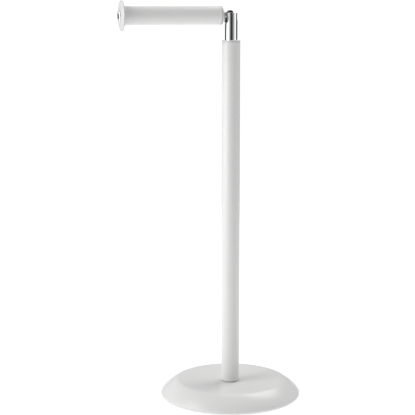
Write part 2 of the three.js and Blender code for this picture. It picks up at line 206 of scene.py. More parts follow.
def flat_ring(node, outer, bore, span, place=UPRIGHT, edge=0.15 * MM, sides=72):
    """A ring or tube between two heights of its own Z, with rounded edges."""
    low, high = span
    outline = [(bore, low, edge), (outer, low, edge), (outer, high, edge), (bore, high, edge)]
    return revolve(node + "_fine", rounded(outline), place, sides)


def threaded(name, radius, pitch, span, place=UPRIGHT):
    """A rod with a helical V thread that runs out into a chamfer at each end."""
    low, high = span
    sides, rings_per_turn = 24, 8
    root = radius - 0.61 * pitch  # the depth of a metric thread
    count = round((high - low) / pitch * rings_per_turn)
    made = bmesh.new()
    rings = []
    for i in range(count + 1):
        height = low + (high - low) * i / count
        from_end = min(height - low, high - height)
        ring = []
        for k in range(sides):
            turn = (height / pitch - k / sides) % 1
            crest = root + (radius - root) * abs(2 * turn - 1)
            reached = min(crest, root + from_end)
            angle = 2 * math.pi * k / sides
            ring.append(made.verts.new((reached * math.cos(angle), reached * math.sin(angle), height)))
        rings.append(ring)
    made.faces.new(rings[0][::-1])
    made.faces.new(rings[-1])
    for lower, upper in zip(rings, rings[1:]):
        for k in range(sides):
            j = (k + 1) % sides
            made.faces.new((lower[k], lower[j], upper[j], upper[k]))
    return piece(name, made, place)


def apply_modifiers(thing):
    """Bakes an object's modifiers into its mesh."""
    graph = bpy.context.evaluated_depsgraph_get()
    mesh = bpy.data.meshes.new_from_object(thing.evaluated_get(graph))
    thing.modifiers.clear()
    thing.data = mesh


def combine(thing, others, operation):
    """Joins other solids to a solid, or cuts them from it, and removes them."""
    for other in others:
        step = thing.modifiers.new("combine", "BOOLEAN")
        step.operation = operation
        step.solver = "EXACT"
        step.object = other
        bpy.context.view_layer.update()
        apply_modifiers(thing)
        bpy.data.objects.remove(other)
    return thing


def soften(thing, width, angle=30, segments=3):
    """Rounds the edges sharper than an angle."""
    bevel = thing.modifiers.new("bevel", "BEVEL")
    bevel.width = width
    bevel.segments = segments
    bevel.limit_method = "ANGLE"
    bevel.angle_limit = math.radians(angle)
    bevel.use_clamp_overlap = True
    bevel.harden_normals = False
    bpy.context.view_layer.update()
    apply_modifiers(thing)
    thing.data.shade_smooth()
    return thing


def finished(thing, body, nodes, material):
    """Sets normals and material, and hands the piece to the frame."""
    weighted = thing.modifiers.new("weighted normals", "WEIGHTED_NORMAL")
    weighted.keep_sharp = True
    weighted.weight = 60
    thing.data.materials.clear()
    thing.data.materials.append(material)
    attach(thing, body)
    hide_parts(*nodes)
    return thing


# ---------------------------------------------------------------- materials
class Surface:
    """A Principled material with helpers for its procedural detail, in object coordinates (metres)."""

    def __init__(self, name, **inputs):
        self.material = bpy.data.materials.new(name)
        self.material.use_nodes = True
        self.nodes = self.material.node_tree.nodes
        self.links = self.material.node_tree.links
        self.shader = self.nodes["Principled BSDF"]
        self.coords = self.nodes.new("ShaderNodeTexCoord").outputs["Object"]
        for key, value in inputs.items():
            self.shader.inputs[key.replace("_", " ")].default_value = value

    def noise(self, size, detail=2.0, stretch=(1, 1, 1)):
        """Noise whose features are about a given size across."""
        mapping = self.nodes.new("ShaderNodeMapping")
        mapping.inputs["Scale"].default_value = [1 / s for s in stretch]
        texture = self.nodes.new("ShaderNodeTexNoise")
        texture.inputs["Scale"].default_value = 1 / size
        texture.inputs["Detail"].default_value = detail
        self.links.new(self.coords, mapping.inputs["Vector"])
        self.links.new(mapping.outputs["Vector"], texture.inputs["Vector"])
        return texture.outputs["Fac"]

    def spread(self, fac, low, high):
        """A noise's middle range mapped onto two values."""
        node = self.nodes.new("ShaderNodeMapRange")
        node.inputs["From Min"].default_value = 0.3
        node.inputs["From Max"].default_value = 0.7
        node.inputs["To Min"].default_value = low
        node.inputs["To Max"].default_value = high
        self.links.new(fac, node.inputs["Value"])
        return node.outputs["Result"]

    def tint(self, fac, first, second):
        """Base colour between two colours."""
        mix = self.nodes.new("ShaderNodeMix")
        mix.data_type = "RGBA"
        mix.inputs["A"].default_value = (*first, 1)
        mix.inputs["B"].default_value = (*second, 1)
        self.links.new(self.spread(fac, 0, 1), mix.inputs["Factor"])
        self.links.new(mix.outputs["Result"], self.shader.inputs["Base Color"])

    def drive(self, key, fac, low, high):
        """A shader value that wanders between two values."""
        self.links.new(self.spread(fac, low, high), self.shader.inputs[key])

    def relief(self, heights):
        """Bumps from (noise, depth in metres) pairs, coarse first."""
        normal = None
        for fac, depth in heights:
            bump = self.nodes.new("ShaderNodeBump")
            bump.inputs["Distance"].default_value = depth
            self.links.new(fac, bump.inputs["Height"])
            if normal:
                self.links.new(normal, bump.inputs["Normal"])
            normal = bump.outputs["Normal"]
        self.links.new(normal, self.shader.inputs["Normal"])


def near_whites(whiteness, spread):
    """Two whites either side of one, both a trace warm."""
    return [(level, level, level - 0.005) for level in (whiteness - spread, whiteness + spread)]


def white_paint(name, whiteness):
    """Semi-gloss powder coat: a faint orange peel, and a clear layer that wanders a little."""
    paint = Surface(name, Roughness=0.34, Coat_Roughness=0.14, Specular_IOR_Level=0.4)
    paint.tint(paint.noise(60 * MM, 3), *near_whites(whiteness, 0.005))
    paint.drive("Coat Weight", paint.noise(45 * MM, 1), 0.14, 0.2)
    paint.relief([(paint.noise(6 * MM, 0), 0.004 * MM)])
    return paint.material


def white_plastic(name, whiteness):
    """Moulded plastic: slightly softer than the paint, with a fine even skin."""
    plastic = Surface(name, Roughness=0.32, Subsurface_Weight=0.05)
    plastic.shader.inputs["Subsurface Radius"].default_value = (1.0 * MM, 0.8 * MM, 0.7 * MM)
    plastic.tint(plastic.noise(30 * MM, 2), *near_whites(whiteness, 0.01))
    plastic.drive("Specular IOR Level", plastic.noise(20 * MM, 1), 0.36, 0.44)
    plastic.relief([(plastic.noise(1.5 * MM, 2), 0.002 * MM)])
    return plastic.material


def polished_chrome():
    """Mirror plating with a trace of polishing marks and handling haze."""
    chrome = Surface("polished_chrome", Metallic=1.0)
    chrome.tint(chrome.noise(12 * MM, 2), (0.88, 0.89, 0.90), (0.92, 0.925, 0.93))
    chrome.drive("Roughness", chrome.noise(5 * MM, 5), 0.035, 0.09)
    chrome.relief([(chrome.noise(0.6 * MM, 3, stretch=(1, 1, 8)), 0.0012 * MM)])
    return chrome.material


def zinc_steel():
    """Dull zinc plating with a faint crystalline mottle."""
    zinc = Surface("zinc_plated_steel", Metallic=1.0)
    zinc.tint(zinc.noise(3 * MM, 6), (0.36, 0.37, 0.39), (0.48, 0.49, 0.51))
    zinc.drive("Roughness", zinc.noise(1.5 * MM, 4), 0.28, 0.5)
    zinc.relief([(zinc.noise(0.4 * MM, 3), 0.004 * MM)])
    return zinc.material


def cast_iron():
    """Grey iron as it leaves a sand mould."""
    iron = Surface("grey_cast_iron", Metallic=0.6)
    iron.tint(iron.noise(8 * MM, 6), (0.05, 0.05, 0.052), (0.10, 0.10, 0.10))
    iron.drive("Roughness", iron.noise(3 * MM, 4), 0.6, 0.85)
    iron.relief([(iron.noise(2.5 * MM, 4), 0.12 * MM), (iron.noise(0.5 * MM, 3), 0.04 * MM)])
    return iron.material


def foam_rubber():
    """Dark closed-cell foam rubber."""
    rubber = Surface("dark_foam_rubber", Specular_IOR_Level=0.3)
    rubber.tint(rubber.noise(15 * MM, 4), (0.018, 0.018, 0.019), (0.032, 0.032, 0.034))
    rubber.drive("Roughness", rubber.noise(4 * MM, 3), 0.75, 0.92)
    rubber.relief([(rubber.noise(0.5 * MM, 4), 0.05 * MM)])
    return rubber.material


def natural_nylon():
    """Off-white turned nylon."""
    nylon = Surface("natural_nylon", Subsurface_Weight=0.1)
    nylon.shader.inputs["Subsurface Radius"].default_value = (1.5 * MM, 1.2 * MM, 0.9 * MM)
    nylon.tint(nylon.noise(5 * MM, 3), (0.70, 0.68, 0.62), (0.76, 0.74, 0.69))
    nylon.drive("Roughness", nylon.noise(2 * MM, 3), 0.42, 0.55)
    nylon.relief([(nylon.noise(0.3 * MM, 2), 0.004 * MM)])
    return nylon.material


def black_acetal():
    """Black moulded plastic, fairly glossy, with the faint haze that handling leaves."""
    acetal = Surface("black_acetal", Specular_IOR_Level=0.5)
    acetal.tint(acetal.noise(6 * MM, 3), (0.018, 0.018, 0.019), (0.028, 0.028, 0.029))
    acetal.drive("Roughness", acetal.noise(3 * MM, 4), 0.28, 0.40)
    acetal.relief([(acetal.noise(0.5 * MM, 3), 0.003 * MM)])
    return acetal.material


MATERIALS = {
    "white_paint": white_paint("white_powder_coat", 0.715),
    "white_plastic": white_plastic("white_moulded_plastic", 0.67),
    "polished_chrome": polished_chrome(),
    "zinc_steel": zinc_steel(),
    "cast_weight": cast_iron(),
    "pad_rubber": foam_rubber(),
    "nylon": natural_nylon(),
    "black_plastic": black_acetal(),
}
# The base, the roller and its stop plate each have a slightly different white: lit and shaded copies of one
# finish. The base's paint is darker as painted shade on its dish, the roller's paint whiter as painted light
# along the arm, and the stop plate's plastic darker as painted shade where the light from the left falls on
# it.
LIT_AND_SHADED_COPIES = {
    "base_shell": white_paint("base_coat_painted_shade", 0.695),
    "roller_sleeve": white_paint("roller_coat_painted_light", 0.77),
    "roll_stop": white_plastic("stop_plastic_painted_shade", 0.63),
}
NODE_SLOTS = {part["node"]: part["material_slot"] for part in frame["record"]["subparts"]}


def stand_for(thing, node, body):
    """A fine piece that takes one CAD node's place, body and slot."""
    slot = NODE_SLOTS[node]
    # The base, roller and stop plate take their lit or shaded copy of the finish: painted light and painted
    # shade.
    return finished(thing, body, [node], LIT_AND_SHADED_COPIES.get(node, MATERIALS[slot]))


# ---------------------------------------------------------------- base
BASE_RADIUS = across("base_shell", 0)
LIP_Z, CREST_Z = heights("base_shell")
EQUATOR_Z = 4.6 * MM
CREST_RADIUS = 72.9 * MM
DISH_Z = 21 * MM
DISH_FLAT = 20 * MM
SHELL_WALL = 1.5 * MM
PAD_RADIUS = across("floor_pad", 0)
BOLT_HOLE = 4.6 * MM


def shell_top(inset, steps):
    """The shell's section from its widest ring over the crest to the flat middle of the dish."""
    flank = bezier(
        (BASE_RADIUS - inset, EQUATOR_Z),
        (BASE_RADIUS - inset, EQUATOR_Z + 3.4 * MM - 0.6 * inset),
        (CREST_RADIUS + 8.4 * MM - 0.8 * inset, CREST_Z - inset),
        (CREST_RADIUS, CREST_Z - inset),
        steps,
    )
    dish = bezier(
        (CREST_RADIUS, CREST_Z - inset),
        (CREST_RADIUS - 12 * MM, CREST_Z - inset),
        (DISH_FLAT + 18 * MM, DISH_Z - inset),
        (DISH_FLAT, DISH_Z - inset),
        steps,
    )
    return flank + dish[1:]


def base_shell():
    """Pressed shell: a round lip, a flank that swells over the crest, and a shallow dish."""
    lip = EQUATOR_Z - LIP_Z
    middle = (BASE_RADIUS - lip, EQUATOR_Z)
    inner_edge = PAD_RADIUS + 0.7 * MM
    outside = [(inner_edge, LIP_Z)]
    outside += arc(middle, lip, -90, 0, 10)[:-1]
    outside += shell_top(0, 28)
    hole_edge = [(DISH_FLAT, DISH_Z), (BOLT_HOLE, DISH_Z, 0.3 * MM), (BOLT_HOLE, DISH_Z - SHELL_WALL)]
    outside += rounded(hole_edge, False)[1:]
    inside = arc(middle, lip - SHELL_WALL, -90, 0, 6)[:-1] + shell_top(SHELL_WALL, 14)
    lip_end = (inner_edge, LIP_Z + SHELL_WALL)
    return revolve("base_shell_fine", outside + inside[::-1] + [lip_end], sides=160)


def floor_pad():
    """Flat disc with rounded edges."""
    low, high = heights("floor_pad")
    edge = 0.5 * MM
    outline = [(0, low), (PAD_RADIUS, low, edge), (PAD_RADIUS, high, edge), (0, high)]
    return revolve("floor_pad_fine", rounded(outline, False), sides=128)


stand_for(base_shell(), "base_shell", STAND)
stand_for(floor_pad(), "floor_pad", STAND)


# ---------------------------------------------------------------- pole
POLE_RADIUS = across("pole_tube", 0)
TUBE_WALL = 1.2 * MM
COLLAR_LOW, COLLAR_TOP = heights("top_collar")
POST_RADIUS = across("hinge_post", 0)
POST_LOW, POST_TOP = heights("hinge_post")
STUD_HOLE = 5.3 * MM


def pole_tube():
    """Straight tube."""
    bore = POLE_RADIUS - TUBE_WALL
    return flat_ring("pole_tube", POLE_RADIUS, bore, heights("pole_tube"), edge=0.35 * MM, sides=128)


def foot_gasket():
    """Thin ring between the tube and the shell."""
    node = "foot_gasket"
    return flat_ring(node, across(node, 0), BOLT_HOLE, heights(node), edge=0.3 * MM)


def top_collar():
    """Collar as wide as the tube, with a spigot inside it and a socket for the post."""
    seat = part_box("pole_tube")[1].z + FIT_GAP
    spigot = POLE_RADIUS - TUBE_WALL - FIT_GAP
    socket = POST_RADIUS + 0.25 * MM
    floor = POST_LOW - FIT_GAP
    outline = [
        (STUD_HOLE, COLLAR_LOW, 0.3 * MM),
        (spigot, COLLAR_LOW, 1 * MM),
        (spigot, seat),
        (POLE_RADIUS, seat, 0.3 * MM),
        (POLE_RADIUS, COLLAR_TOP, 0.7 * MM),
        (socket, COLLAR_TOP, 0.3 * MM),
        (socket, floor),
        (STUD_HOLE, floor, 0.3 * MM),
    ]
    return revolve("top_collar_fine", rounded(outline), sides=128)


stand_for(pole_tube(), "pole_tube", STAND)
stand_for(foot_gasket(), "foot_gasket", STAND)
stand_for(top_collar(), "top_collar", STAND)


# ---------------------------------------------------------------- hinge
FORK_RISE = POST_TOP - PIVOT.z
SLOT_HALF = 5.2 * MM
SLOT_DEEP = 9.4 * MM
SLOT_SHALLOW = 6.9 * MM
SLOT_STEP_X = -1.8 * MM
SLOT_CORNER = 1.5 * MM
PIN_RADIUS = 2.5 * MM
HAIR = 0.04 * MM
KNUCKLE_RADIUS = 6.6 * MM
KNUCKLE_HALF = 4.9 * MM
KNUCKLE_END = 7 * MM
NOSE_RADIUS = 3.3 * MM
NOSE_CENTRE = (1.7 * MM, 3.7 * MM)
SHOULDER_RISE = 4.6 * MM
COLLAR_START = KNUCKLE_END + FIT_GAP
COLLAR_END = reach("inner_thrust_washer")[0] - 0.15 * MM
COLLAR_RADIUS = across("spindle_rod", 1)
SPINDLE_END_RADIUS = 3 * MM
SPINDLE_HOLE_START = reach("spindle_rod")[0] - FIT_GAP


def slot_cutter(name, depth, near, far):
    """A U-shaped bar that cuts the fork's slot between two places along world X."""
    above = FORK_RISE + 4 * MM
    outline = rounded([
        (-SLOT_HALF, above),
        (-SLOT_HALF, -depth, SLOT_CORNER),
        (SLOT_HALF, -depth, SLOT_CORNER),
        (SLOT_HALF, above),
    ])
    return slab(name, outline, near, far, FROM_END)


def hinge_post():
    """Round bar with a stepped slot across it, a hole for the pin and a blind hole for the stud."""
    bore_top = POST_LOW + 20 * MM
    outline = [
        (0, bore_top),
        (STUD_HOLE, bore_top),
        (STUD_HOLE, POST_LOW, 0.3 * MM),
        (POST_RADIUS, POST_LOW, 0.3 * MM),
        (POST_RADIUS, POST_TOP, 0.45 * MM),
        (0, POST_TOP),
    ]
    bar = revolve("hinge_post_fine", rounded(outline, False))
    beyond = POST_RADIUS + 2 * MM
    cutters = [
        slot_cutter("slot_deep", SLOT_DEEP, -beyond, SLOT_STEP_X),
        slot_cutter("slot_shallow", SLOT_SHALLOW, -beyond - 1 * MM, beyond),
        plain_rod("pin_hole", PIN_RADIUS + HAIR, (-beyond, beyond), ALONG_PIN),
    ]
    return soften(combine(bar, cutters, "DIFFERENCE"), 0.25 * MM)


def hinge_pin():
    """Pin whose ends are dressed flush with the post's round sides."""
    end = POST_RADIUS + 1 * MM
    pin = plain_rod("hinge_pin_fine", PIN_RADIUS, (-end, end), ALONG_PIN)
    envelope = plain_rod("pin_envelope", POST_RADIUS - HAIR, (PIVOT.z - 5 * MM, PIVOT.z + 5 * MM), sides=192)
    return soften(combine(pin, [envelope], "INTERSECT"), 0.08 * MM, segments=2)


def knuckle_outline():
    """Side view: a nose on top, a square toe that stops the arm upright, and a heel that stops it level."""
    heel_near = -SLOT_STEP_X + FIT_GAP
    heel_far = POST_RADIUS - 0.4 * MM
    heel_low = -SLOT_DEEP + FIT_GAP
    heel_top = -COLLAR_RADIUS - FIT_GAP
    nose_from = math.degrees(math.asin((SHOULDER_RISE - NOSE_CENTRE[1]) / NOSE_RADIUS))
    nose_to = 180 - math.degrees(math.asin((FORK_RISE - NOSE_CENTRE[1]) / NOSE_RADIUS))
    heel_angle = math.degrees(math.acos(heel_near / KNUCKLE_RADIUS))
    outline = [(KNUCKLE_END, SHOULDER_RISE)]
    outline += arc(NOSE_CENTRE, NOSE_RADIUS, nose_from, nose_to, 16)
    outline += [(-KNUCKLE_RADIUS, FORK_RISE)]
    outline += arc((0, 0), KNUCKLE_RADIUS, 180, 360 - heel_angle, 18)
    outline += [(heel_near, heel_low), (heel_far, heel_low), (heel_far, heel_top), (KNUCKLE_END, heel_top)]
    return outline


def hinge_knuckle():
    """Flat tongue with a hole for the pin and one for the spindle's end."""
    tongue = slab("hinge_knuckle_fine", knuckle_outline(), -KNUCKLE_HALF, KNUCKLE_HALF, FROM_SIDE)
    beyond = 8 * MM
    holes = [
        plain_rod("pin_hole", PIN_RADIUS + 0.1 * MM, (-beyond, beyond), ALONG_PIN),
        plain_rod("spindle_hole", SPINDLE_END_RADIUS + FIT_GAP, (SPINDLE_HOLE_START, beyond), ALONG_ARM),
    ]
    return soften(combine(tongue, holes, "DIFFERENCE"), 0.35 * MM)


stand_for(hinge_post(), "hinge_post", STAND)
stand_for(hinge_pin(), "hinge_pin", STAND)
stand_for(hinge_knuckle(), "hinge_knuckle", ARM)


# ---------------------------------------------------------------- roller
ROLLER_RADIUS = across("roller_sleeve", 1)
ROLLER_WALL = 1.2 * MM
SPIGOT_RADIUS = ROLLER_RADIUS - ROLLER_WALL - FIT_GAP
BUSH_START, BUSH_END = reach("inner_bush")
SLEEVE_START, SLEEVE_END = reach("roller_sleeve")
STOP_LOW, STOP_FACE = reach("roll_stop")
STOP_RADIUS = across("roll_stop", 1)
CAP_LOW, CAP_TIP = reach("end_cap_nut")
CAP_RADIUS = across("end_cap_nut", 1)
SPINDLE_BORE = 4.1 * MM
SHANK_RADIUS = 4.6 * MM
SHOULDER = CAP_LOW - FIT_GAP


def inner_bush():
    """Plug for the sleeve's inner end, with a shadow groove between its rim and the sleeve."""
    seat = SLEEVE_START - FIT_GAP
    groove = 0.5 * MM
    outline = [
        (SPINDLE_BORE, BUSH_START, 0.4 * MM),
        (ROLLER_RADIUS, BUSH_START, 0.6 * MM),
        (ROLLER_RADIUS, seat - groove, 0.15 * MM),
        (ROLLER_RADIUS - 1 * MM, seat - groove),
        (ROLLER_RADIUS - 1 * MM, seat),
        (SPIGOT_RADIUS, seat),
        (SPIGOT_RADIUS, BUSH_END, 1 * MM),
        (SPINDLE_BORE, BUSH_END, 0.3 * MM),
    ]
    return revolve("inner_bush_fine", rounded(outline), ALONG_ARM, 96)


def roller_sleeve():
    """Straight tube."""
    bore, span = ROLLER_RADIUS - ROLLER_WALL, (SLEEVE_START, SLEEVE_END)
    return flat_ring("roller_sleeve", ROLLER_RADIUS, bore, span, ALONG_ARM, edge=0.2 * MM, sides=128)


def roll_stop():
    """Thin plate with a crowned face, a spigot in the sleeve and a stepped bore for the cap's shank."""
    back = SLEEVE_END + FIT_GAP
    rim = STOP_FACE - 1 * MM
    journal = SHANK_RADIUS + 0.1 * MM
    recess = CAP_RADIUS - 0.5 * MM
    outline = [
        (SPINDLE_BORE, STOP_LOW, 0.3 * MM),
        (SPIGOT_RADIUS, STOP_LOW, 1 * MM),
        (SPIGOT_RADIUS, back),
        (STOP_RADIUS, back, 0.5 * MM),
        (STOP_RADIUS, rim, 0.5 * MM),
        (STOP_RADIUS - 7 * MM, STOP_FACE - 0.25 * MM, 20 * MM),
        (CAP_RADIUS + 0.9 * MM, STOP_FACE),
        (recess, STOP_FACE, 0.2 * MM),
        (recess, STOP_FACE - 0.6 * MM),
        (journal, STOP_FACE - 0.6 * MM),
        (journal, SHOULDER),
        (SPINDLE_BORE, SHOULDER),
    ]
    return revolve("roll_stop_fine", rounded(outline), ALONG_ARM, 128)


def end_cap_nut():
    """Domed cap with a plain shank and a blind threaded hole."""
    head = STOP_FACE + 0.2 * MM
    bore = 3.3 * MM
    bore_end = head + 0.7 * MM
    dome_base = head + 1 * MM
    outline = [
        (0, bore_end),
        (bore, bore_end),
        (bore, CAP_LOW),
        (SHANK_RADIUS, CAP_LOW, 0.3 * MM),
        (SHANK_RADIUS, head),
        (CAP_RADIUS, head, 0.3 * MM),
        (CAP_RADIUS, dome_base),
    ]
    shoulder, brow = (CAP_RADIUS, CAP_TIP - 0.7 * MM), (CAP_RADIUS - 2 * MM, CAP_TIP)
    dome = bezier((CAP_RADIUS, dome_base), shoulder, brow, (0, CAP_TIP), 14)
    return revolve("end_cap_nut_fine", rounded(outline, False) + dome[1:], ALONG_ARM, 96)


stand_for(inner_bush(), "inner_bush", ROLLER)
stand_for(roller_sleeve(), "roller_sleeve", ROLLER)
stand_for(roll_stop(), "roll_stop", ROLLER)
stand_for(end_cap_nut(), "end_cap_nut", ARM)


# ---------------------------------------------------------------- pieces inside the base
PLATE_LOW, PLATE_HIGH = heights("base_plate")
BALLAST_LOW, BALLAST_HIGH = heights("ballast_weight")
POCKET_RADIUS = 11.5 * MM
SCREW_CIRCLE = 62 * MM
SCREWS = 3
SCREW_RADIUS = 1.9 * MM
SCREW_HEAD_RADIUS = 3.8 * MM
COUNTERSINK = 2 * MM
CLEARANCE = 0.25 * MM
BOLT_RADIUS = 4 * MM


def screw_place(index):
    """Where a plate screw stands: on a circle in the base, the first towards +X."""
    turn = Matrix.Rotation(-2 * math.pi * index / SCREWS, 4, "Z")
    return turn @ Matrix.Translation((SCREW_CIRCLE, 0, 0))


def screw_holes():
    """Countersinks and holes, to be cut from the plate and the weight."""
    head = SCREW_HEAD_RADIUS + CLEARANCE
    shank = SCREW_RADIUS + CLEARANCE
    tip = heights("plate_screw_1")[1] + CLEARANCE
    below = PLATE_LOW - 1 * MM
    seat = PLATE_LOW + COUNTERSINK
    outline = [(0, below), (head, below), (head, PLATE_LOW), (shank, seat), (shank, tip), (0, tip)]
    return [revolve("screw_hole", outline, screw_place(i), 32) for i in range(SCREWS)]


def ballast_weight():
    """Cast disc with drafted sides, a boss under the pole and a pocket for the bolt's head."""
    radius = across("ballast_weight", 0)
    top = PLATE_LOW + 10.8 * MM
    chamfer = 6 * MM
    outline = [
        (POCKET_RADIUS, BALLAST_LOW, 0.8 * MM),
        (radius, BALLAST_LOW, 0.8 * MM),
        (radius, top - chamfer, 3 * MM),
        (radius - chamfer, top, 3 * MM),
        (24 * MM, top, 2.5 * MM),
        (19 * MM, BALLAST_HIGH, 1 * MM),
        (BOLT_HOLE, BALLAST_HIGH, 0.3 * MM),
        (BOLT_HOLE, PLATE_LOW + 10 * MM, 0.3 * MM),
        (POCKET_RADIUS, PLATE_LOW + 10 * MM, 1 * MM),
    ]
    disc = revolve("ballast_weight_fine", rounded(outline), sides=128)
    return combine(disc, screw_holes(), "DIFFERENCE")


def base_plate():
    """Flat ring with the screws' countersinks."""
    edge, radius = 0.4 * MM, across("base_plate", 0)
    disc = flat_ring("base_plate", radius, POCKET_RADIUS, (PLATE_LOW, PLATE_HIGH), edge=edge, sides=128)
    return combine(disc, screw_holes(), "DIFFERENCE")


def plate_screw(node, index):
    """Countersunk screw, its head down, with a cross recess and a thread."""
    low, high = heights(node)
    crown = SCREW_HEAD_RADIUS - 0.1 * MM
    seat = low + COUNTERSINK
    cone = [(0, low), (crown, low), (crown, low + 0.25 * MM), (1.5 * MM, seat), (0, seat)]
    head = revolve(node + "_fine", cone, screw_place(index), 40)
    shank = threaded("shank", SCREW_RADIUS, 0.7 * MM, (low + 1 * MM, high), screw_place(index))
    arm, half = 2.1 * MM, 0.45 * MM
    quarter = [(arm, -half), (arm, half), (half, half)]
    outline = [point for k in range(4) for point in turned(quarter, 90 * k)]
    recess = slab("recess", outline, low - 1 * MM, low + 1.2 * MM, screw_place(index))
    return combine(combine(head, [shank], "UNION"), [recess], "DIFFERENCE")


def pole_bolt():
    """Hexagon bolt with chamfered corners, head down, threaded to its head."""
    low, high = heights("pole_bolt")
    corner = across("pole_bolt", 1)
    head_top = low + 5.2 * MM
    hexagon = arc((0, 0), corner, 30, 330, 5)
    head = slab("pole_bolt_fine", hexagon, low, head_top, UPRIGHT)
    flat = corner * math.cos(math.radians(30)) - 0.2 * MM
    low_corner = (corner, low + (corner - flat) / 2)
    high_corner = (corner, head_top - (corner - flat) / 2)
    chamfered = [(0, low), (flat, low), low_corner, high_corner, (flat, head_top), (0, head_top)]
    combine(head, [revolve("head_chamfers", chamfered, sides=72)], "INTERSECT")
    return combine(head, [threaded("shank", BOLT_RADIUS, 1.25 * MM, (low + 4 * MM, high))], "UNION")


def bolt_washer():
    """Plain washer."""
    node = "bolt_washer"
    return flat_ring(node, across(node, 0), BOLT_RADIUS + FIT_GAP, heights(node))


def bolt_lock_washer():
    """Spring washer: one turn of square wire that rises a little between its two cut ends."""
    low, high = heights("bolt_lock_washer")
    inner, outer = BOLT_RADIUS + FIT_GAP, across("bolt_lock_washer", 1)
    rise = 0.5 * MM
    steps = 72
    gap = 5  # degrees from +X to each cut end
    made = bmesh.new()
    sections = []
    for i in range(steps + 1):
        angle = math.radians(gap + (360 - 2 * gap) * i / steps)
        base = low + rise * i / steps
        top = base + high - low - rise
        corners = ((inner, base), (outer, base), (outer, top), (inner, top))
        sections.append([made.verts.new((r * math.cos(angle), r * math.sin(angle), z)) for r, z in corners])
    made.faces.new(sections[0])
    made.faces.new(sections[-1])
    for here, there in zip(sections, sections[1:]):
        for k in range(4):
            j = (k + 1) % 4
            made.faces.new((here[k], here[j], there[j], there[k]))
    return soften(piece("bolt_lock_washer_fine", made, UPRIGHT), 0.15 * MM, angle=50, segments=2)


def foot_insert():
    """Threaded plug, blind at its top."""
    low, high = heights("foot_insert")
    radius, bore = across("foot_insert", 0), BOLT_RADIUS + FIT_GAP
    bore_top = heights("pole_bolt")[1] + 2 * MM
    outline = [
        (0, bore_top),
        (bore, bore_top),
        (bore, low, 0.4 * MM),
        (radius, low, 0.4 * MM),
        (radius, high, 1.5 * MM),
        (0, high),
    ]
    return revolve("foot_insert_fine", rounded(outline, False))


def post_stud():
    """Stud threaded from end to end."""
    return threaded("post_stud_fine", across("post_stud", 0), 1.5 * MM, heights("post_stud"))


stand_for(ballast_weight(), "ballast_weight", STAND)
stand_for(base_plate(), "base_plate", STAND)
for index in range(SCREWS):
    node = f"plate_screw_{index + 1}"
    stand_for(plate_screw(node, index), node, STAND)
stand_for(pole_bolt(), "pole_bolt", STAND)
stand_for(bolt_washer(), "bolt_washer", STAND)
stand_for(bolt_lock_washer(), "bolt_lock_washer", STAND)
stand_for(foot_insert(), "foot_insert", STAND)
stand_for(post_stud(), "post_stud", STAND)


# ---------------------------------------------------------------- pieces inside the roller
def spindle_rod():
    """Turned rod with a collar beside the knuckle and a thinner, threaded end at each side."""
    start, tip = reach("spindle_rod")
    radius, edge = 4 * MM, 0.3 * MM
    outline = [
        (0, COLLAR_START),
        (COLLAR_RADIUS, COLLAR_START, edge),
        (COLLAR_RADIUS, COLLAR_END, edge),
        (radius, COLLAR_END),
        (radius, SHOULDER, edge),
        (0, SHOULDER),
    ]
    rod = revolve("spindle_rod_fine", rounded(outline, False), ALONG_ARM, 64)
    overlap = 1 * MM
    spans = ((start, COLLAR_START + overlap), (SHOULDER - overlap, tip))
    ends = [threaded("end", SPINDLE_END_RADIUS, 1 * MM, span, ALONG_ARM) for span in spans]
    return combine(rod, ends, "UNION")


def thrust_washer(node, bore):
    """Thin washer on the spindle."""
    return flat_ring(node, across(node, 1), bore, reach(node), ALONG_ARM, edge=0.12 * MM)


stand_for(spindle_rod(), "spindle_rod", ARM)
stand_for(thrust_washer("inner_thrust_washer", 4.2 * MM), "inner_thrust_washer", ARM)
stand_for(thrust_washer("outer_thrust_washer", 4.8 * MM), "outer_thrust_washer", ARM)


# ---------------------------------------------------------------- camera
CAMERA_AZIMUTH = 16  # degrees; the arm's free end comes towards the camera
CAMERA_DISTANCE = 1.735
CAMERA_SIDE = -0.0321
CAMERA_HEIGHT = 0.548
CAMERA_PITCH = 9.16  # degrees below level
CAMERA_LENS = 110
SENSOR_WIDTH = 36


def make_camera():
    """The camera; returns the level directions ahead of it and to its right."""
    angle = math.radians(CAMERA_AZIMUTH)
    ahead = Vector((math.sin(angle), math.cos(angle), 0))
    right = Vector((math.cos(angle), -math.sin(angle), 0))
    data = bpy.data.cameras.new("camera")
    data.lens = CAMERA_LENS
    data.sensor_width = SENSOR_WIDTH
    camera = bpy.data.objects.new("camera", data)
    camera.location = right * CAMERA_SIDE - ahead * CAMERA_DISTANCE + Vector((0, 0, CAMERA_HEIGHT))
    camera.rotation_euler = (math.radians(90 - CAMERA_PITCH), 0, -angle)
    bpy.context.scene.collection.objects.link(camera)
    bpy.context.scene.camera = camera
    return ahead, right


# ---------------------------------------------------------------- floor and studio light
# Strength of the studio's surround at bearings in degrees from the camera's side, positive to its right.
# Low down it is dark behind the object and beside the camera, which edges the chrome, and it is bright on
# the left and less so on the right.
LOW_WALLS = [
    (-180, 0.3), (-145, 0.3), (-130, 0.0), (-107, 0.0), (-100, 0.6), (-90, 1.0), (-80, 2.2), (-75, 3.8),
    (-57, 3.8), (-48, 1.0), (-30, 0.6), (-20, 0.35), (-12, 0.04), (12, 0.03), (26, 0.15), (45, 0.4),
    (65, 0.9), (75, 1.1), (95, 1.2), (101, 0.1), (110, 0.0), (130, 0.0), (145, 0.3), (180, 0.3),
]
HIGH_WALLS = [
    (-180, 0.5), (-150, 0.9), (-120, 1.2), (-90, 1.2), (-75, 1.4), (-60, 1.9), (-45, 1.5), (-30, 1.1),
    (-15, 0.6), (0, 0.1), (15, 0.1), (60, 0.6), (90, 1.2), (120, 0.7), (150, 0.5), (180, 0.5),
]
